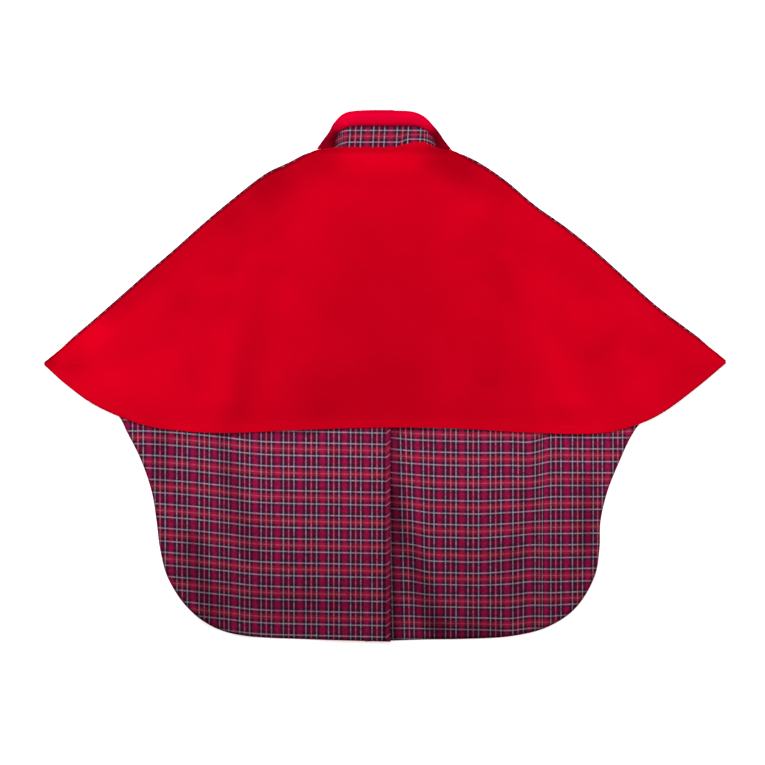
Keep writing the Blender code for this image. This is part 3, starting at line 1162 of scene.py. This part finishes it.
class CAPE_OT_linings(bpy.types.Operator):
    """Tartan lining of both fronts, face up, the left one rolled at the centre front"""
    bl_idname = "cape.linings"
    bl_label = "Front linings"

    def execute(self, context):
        for name, side in SIDES:
            self.make(context.scene.cape_sizes, name, side)
        return {"FINISHED"}

    def level(self, side, x, y):
        """Upper face of the lining, before its edges."""
        folds = LEFT_LINING_FOLDS if side < 0 else RIGHT_LINING_FOLDS
        creases = LEFT_LINING_CREASES if side < 0 else RIGHT_LINING_CREASES
        calm = 1.0 - blend(*LINING_CALM, y)
        wave = (FOLD_SOFTNESS * fold_height(folds, x, y) + fold_height(creases, x, y)) * calm
        rise = lap_rise(x) if side < 0 else 0.0
        if side > 0:
            wave *= blend(*LAP_CALM, x - LAP_EDGE)
        else:
            from_edge = LAP_EDGE - x
            free = 1.0 - blend(*ROLL_CALM, y)
            if from_edge < ROLL_WIDTH:
                across = max(from_edge / ROLL_WIDTH, 0.0)
                wave += ROLL_RISE * free * math.sin(math.pi * across) ** ROLL_POWER
            depth, width = ROLL_GROOVE
            wave -= depth * groove(from_edge - ROLL_WIDTH - ROLL_GROOVE_PAST, width)
        return LINING_LEVEL + rise + wave

    def point(self, side, x, y, from_hem):
        """Point of a lining, with its place on the tartan and its painted shade."""
        level = self.level(side, x, y) - edge_drop(from_hem, *LINING_EDGE)
        return x, y, level, *tartan_place(side, x, y), lining_painted_shade(side, x, y, from_hem)

    def make(self, sizes, name, side):
        columns = front_sheet(side, LINING_GRID, LINING_INSET, self.point)
        mesh = cloth_mesh(f"{name}_front_tartan", columns)
        piece = new_piece(f"{name}_front_lining", mesh, tartan())
        finish_cloth(
            piece, sizes.lining_wall, -1.0, f"front_{name}_lining",
        )


class CAPE_OT_back(bpy.types.Operator):
    """Short red back over both fronts, with its turned hem, stitches and soft folds"""
    bl_idname = "cape.back"
    bl_label = "Back"

    def level(self, x, y, low, high):
        """Upper face of the back, before its edges."""
        ramp = LAP_RAMP_BACK
        level = LINING_LEVEL
        level += LAP_RISE * blend(ramp[0], ramp[1], x) * (1.0 - blend(ramp[2], ramp[3], x))
        inside = blend(0.0, 1.0, min(y - low, high - y) / DOME_REACH)
        folds = FOLD_SOFTNESS * fold_height(BACK_FOLDS, x, y) + fold_height(BACK_CREASES, x, y)
        folds *= EDGE_FOLD_SHARE + (1.0 - EDGE_FOLD_SHARE) * inside
        level += BACK_EDGE_LIFT + BACK_DOME * inside + folds
        at_stand = 1.0 - blend(0.0, NECK_RISE_REACH, high - y)
        if abs(x) < NECK_CORNER_ACROSS:
            level += max(stand_level(x) + GAP - level, 0.0) * at_stand
        return level + BACK_WALL

    def execute(self, context):
        sizes = context.scene.cape_sizes
        hem_turn = sizes.hem_turn / MM
        widest = math.pi / 2 * COLUMN_CROWDING
        count = BACK_GRID[0]
        columns = []
        hem_path = []
        neck_path = []
        for i in range(count + 1):
            x = TIP_ACROSS * math.sin(widest * (2.0 * i / count - 1.0)) / math.sin(widest)
            low = by_distance(BACK_HEM, x, 1)
            at_neck = abs(x) < NECK_CORNER_ACROSS
            if at_neck:
                high = by_distance(NECK_EDGE, x, 1)
            else:
                inset = SHOULDER_INSET * blend(NECK_CORNER_ACROSS, SHOULDER_INSET_FULL, abs(x))
                high = shoulder_height(x) - inset
            painted_bare_hem = RIM_SHADE * blend(*BARE_HEM_ACROSS, abs(x))
            painted_rim = 0.0 if at_neck else RIM_SHADE
            rows = self.turned(x, low, high, 1.0, hem_turn, -painted_bare_hem)
            for distance in spaced(high - low - 2.0 * TURN_RADIUS, BACK_GRID[1]):
                y = low + TURN_RADIUS + distance
                level = self.level(x, y, low, high)
                depth, width = HEM_GROOVE
                level -= depth * groove(y - low - hem_turn, width)
                if at_neck:
                    depth, width = NECK_GROOVE
                    level -= depth * groove(high - y - NECK_STITCH_INSET, width)
                # Painted light and shade of the back, with painted shade along its shoulder
                # edges and its hem past the fronts
                shade = fold_height(BACK_PAINTED_SHADING, x, y)
                shade -= painted_rim * (1.0 - blend(*RIM_SHADE_WIDTH, high - y))
                shade -= painted_bare_hem * (1.0 - blend(*HEM_RIM_WIDTH, y - low))
                rows.append((x, y, level, x, y, shade))
            turn = min(SHOULDER_TURN, SHOULDER_TURN_MOST * (high - low))
            rows += reversed(self.turned(x, high, low, -1.0, turn, -painted_rim))
            columns.append(rows)
            if high - low > HEM_STITCHED_FROM:
                hem_path.append(self.stitch_place(x, low + hem_turn, low, high))
            if abs(x) < NECK_CORNER_ACROSS - NECK_STITCH_ENDS:
                neck_path.append(self.stitch_place(x, high - NECK_STITCH_INSET, low, high))
        mesh = cloth_mesh("back_wool", columns)
        piece = new_piece("back_wool", mesh, wool())
        length = sizes.stitch_length / MM
        stitches = [
            stitch_row("back_hem_stitches", hem_path, length, STITCH_GAP),
            stitch_row("back_neck_stitches", neck_path, length, STITCH_GAP),
        ]
        finish_cloth(
            piece, sizes.wool_wall, -1.0, "back_panel",
        )
        return {"FINISHED"}

    def stitch_place(self, x, y, low, high):
        """Middle of the stitches at a point, sunk in the cloth."""
        return Vector((x, y, self.level(x, y, low, high) - STITCH_SINK))

    def turned(self, x, edge, other, inward, width, shade):
        """Rows of an edge turned under, from inside to the outermost one, all in one painted
        shade.
        """
        low, high = min(edge, other), max(edge, other)
        start = edge + inward * TURN_RADIUS
        top = self.level(x, start, low, high)
        width = min(width, TURN_MOST * (high - low))
        rows = []
        for share in TURN_ROWS:
            y = start + inward * width * share
            level = self.level(x, y, low, high) - 2.0 * TURN_RADIUS
            rows.append((x, y, level, x, edge - inward * width * share, shade))
        for angle in reversed(TURN_ANGLES):
            turn = math.radians(angle)
            y = start - inward * TURN_RADIUS * math.sin(turn)
            level = top - TURN_RADIUS * (1.0 - math.cos(turn))
            rows.append((x, y, level, x, edge, shade))
        return rows


class CAPE_OT_collar(bpy.types.Operator):
    """Collar: tartan stand, folded red fall and the two red front ends"""
    bl_idname = "cape.collar"
    bl_label = "Collar"

    def execute(self, context):
        sizes = context.scene.cape_sizes
        self.stand(sizes)
        self.fall(sizes)
        for name, side in SIDES:
            self.front_end(name, side)
        return {"FINISHED"}

    def stand(self, sizes):
        columns = []
        across, along = STAND_GRID
        for i in range(across + 1):
            part = 2.0 * i / across - 1.0
            x = STAND_ACROSS * part
            low = by_distance(NECK_EDGE, x, 1) - STAND_TUCK
            rounding = math.sqrt(max(1.0 - abs(part) ** STAND_CORNER_POWER, 0.0))
            high = STAND_TOP - STAND_CORNER * (1.0 - rounding)
            rows = []
            for j in range(along + 1):
                y = low + (high - low) * j / along
                warp, weft = self.stand_tartan(x, y)
                rows.append((x, y, stand_level(x), warp, weft))
            columns.append(rows)
        mesh = cloth_mesh("stand_tartan", columns, STAND_PAINTED_SHADE)
        piece = new_piece("stand_tartan", mesh, tartan())
        finish_cloth(
            piece, sizes.lining_wall, -1.0, "collar_stand",
        )

    def stand_tartan(self, x, y):
        """Place on the tartan: crowded where the ends turn down, lifted by the neck edge."""
        past = max(abs(x) - STAND_CROWD_FROM, 0.0) / (STAND_ACROSS - STAND_CROWD_FROM)
        crowd = math.copysign(STAND_CROWD * past * past, x)
        warp = (x - STAND_WARP_START - STAND_LEAN * (y - STAND_LEAN_FROM)) / STAND_STRETCH
        lift = STAND_LIFT * blend(*STAND_LIFT_ACROSS, x) * (1.0 - blend(*STAND_LIFT_ALONG, y))
        weft = (y - STAND_WEFT_START + STAND_ARCH * past * past - lift) * STAND_WEFT_CLOSE
        return warp + crowd, weft

    def fall_point(self, u, turn):
        outer = Vector((by_section(FALL_SECTIONS, u, 0), by_section(FALL_SECTIONS, u, 1)))
        lower = Vector((by_section(FALL_SECTIONS, u, 2), by_section(FALL_SECTIONS, u, 3)))
        crown = by_section(FALL_SECTIONS, u, 4)
        edge_level = by_section(FALL_SECTIONS, u, 5)
        part = 0.5 - 0.5 * math.cos(turn)
        start_level = stand_level(lower.x) + GAP
        level = start_level + (edge_level - start_level) * part
        if turn < math.pi:
            level += crown * math.sin(turn)
        else:
            under = math.sin(turn - math.pi) / math.sin(FALL_TURN - math.pi)
            level -= (edge_level - FALL_LOWEST) * under
        outer += (lower - outer).normalized() * FALL_WALL
        deep, wide = FALL_NOTCH_GROOVE
        outer.y -= deep * groove(outer.x - FALL_NOTCH, wide)
        raised, step, half = FALL_NOTCH_STEP
        outer.y += raised - step * blend(FALL_NOTCH - half, FALL_NOTCH + half, outer.x)
        deep, wide = FALL_STITCH_GROOVE
        level -= deep * groove(math.degrees(turn - FALL_STITCH_TURN), wide)
        place = lower.lerp(outer, part)
        return Vector((place.x, place.y, level))

    def fall(self, sizes):
        columns = []
        path = []
        across, along = FALL_GRID
        for i in range(across + 1):
            u = i / across
            rows = []
            for j in range(along + 1):
                turn = FALL_TURN * j / along
                point = self.fall_point(u, turn)
                rows.append((point.x, point.y, point.z, point.x, FALL_CLOTH * j / along))
            columns.append(rows)
            if FALL_STITCHED[0] < u < FALL_STITCHED[1]:
                point = self.fall_point(u, FALL_STITCH_TURN)
                path.append(point + Vector(FALL_STITCH_SHIFT))
        mesh = cloth_mesh("collar_fall_wool", columns, FALL_PAINTED_SHADE)
        piece = new_piece("collar_fall_wool", mesh, painted_lighter_collar_wool())
        length = sizes.stitch_length / MM
        stitches = stitch_row("collar_stitches", path, length, FALL_STITCH_GAP)
        finish_cloth(
            piece, FALL_WALL * MM, 1.0, "collar_fall",
        )
        self.round_edges(piece)

    def front_end(self, name, side):
        columns = []
        across, along = LEAF_GRID
        for i in range(across + 1):
            part = i / across if side > 0 else 1.0 - i / across
            angle = COLLAR_END + (NECKLINE_END - COLLAR_END) * part
            low = neckline_point(side, angle)
            low += (Vector((0.0, NECKLINE_CENTRE)) - low).normalized() * NECKLINE_SEAM
            fold = side * FOLD_ACROSS * math.sin(angle)
            high = Vector((fold, FOLD_CENTRE - FOLD_DEEP * math.cos(angle)))
            rows = []
            for j in range(along + 1):
                place = low.lerp(high, j / along)
                warp = LEAF_CLOTH[0] * part
                rows.append((place.x, place.y, 0.0, warp, LEAF_CLOTH[1] * j / along))
            columns.append(rows)
        mesh = cloth_mesh(f"collar_leaf_{name}", columns)
        piece = new_piece(f"collar_leaf_{name}", mesh, painted_lighter_collar_wool())
        finish_cloth(
            piece, FALL_WALL * MM, 1.0, f"collar_front_{name}",
        )
        self.round_edges(piece)

    def round_edges(self, piece):
        """Rounds the cut edges of a collar piece a little."""
        rounding = piece.modifiers.new("Soft edge", "BEVEL")
        rounding.width = SOFT_EDGE * MM
        rounding.segments = SOFT_EDGE_ROWS
        rounding.limit_method = "ANGLE"
        rounding.angle_limit = SOFT_EDGE_ANGLE


class CAPE_PT_panel(bpy.types.Panel):
    """Pieces of the cape, their sizes and colours"""
    bl_idname = "CAPE_PT_panel"
    bl_label = "Wheelchair cape"
    bl_space_type = "VIEW_3D"
    bl_region_type = "UI"
    bl_category = "Cape"

    def draw(self, context):
        for step in STEPS:
            self.layout.operator(step.bl_idname)
        for group in (context.scene.cape_sizes, context.scene.cape_colours):
            box = self.layout.box()
            for name in group.__annotations__:
                box.prop(group, name)


STEPS = (CAPE_OT_stage, CAPE_OT_shells, CAPE_OT_linings, CAPE_OT_back, CAPE_OT_collar)
CLASSES = (CapeSizes, CapeColours, *STEPS, CAPE_PT_panel)


def register():
    for item in CLASSES:
        bpy.utils.register_class(item)
    bpy.types.Scene.cape_sizes = bpy.props.PointerProperty(type=CapeSizes)
    bpy.types.Scene.cape_colours = bpy.props.PointerProperty(type=CapeColours)


def unregister():
    del bpy.types.Scene.cape_colours
    del bpy.types.Scene.cape_sizes
    for item in reversed(CLASSES):
        bpy.utils.unregister_class(item)


def main():
    register()
    bpy.ops.cape.stage()
    bpy.ops.cape.shells()
    bpy.ops.cape.linings()
    bpy.ops.cape.back()
    bpy.ops.cape.collar()


if __name__ == "__main__":
    main()
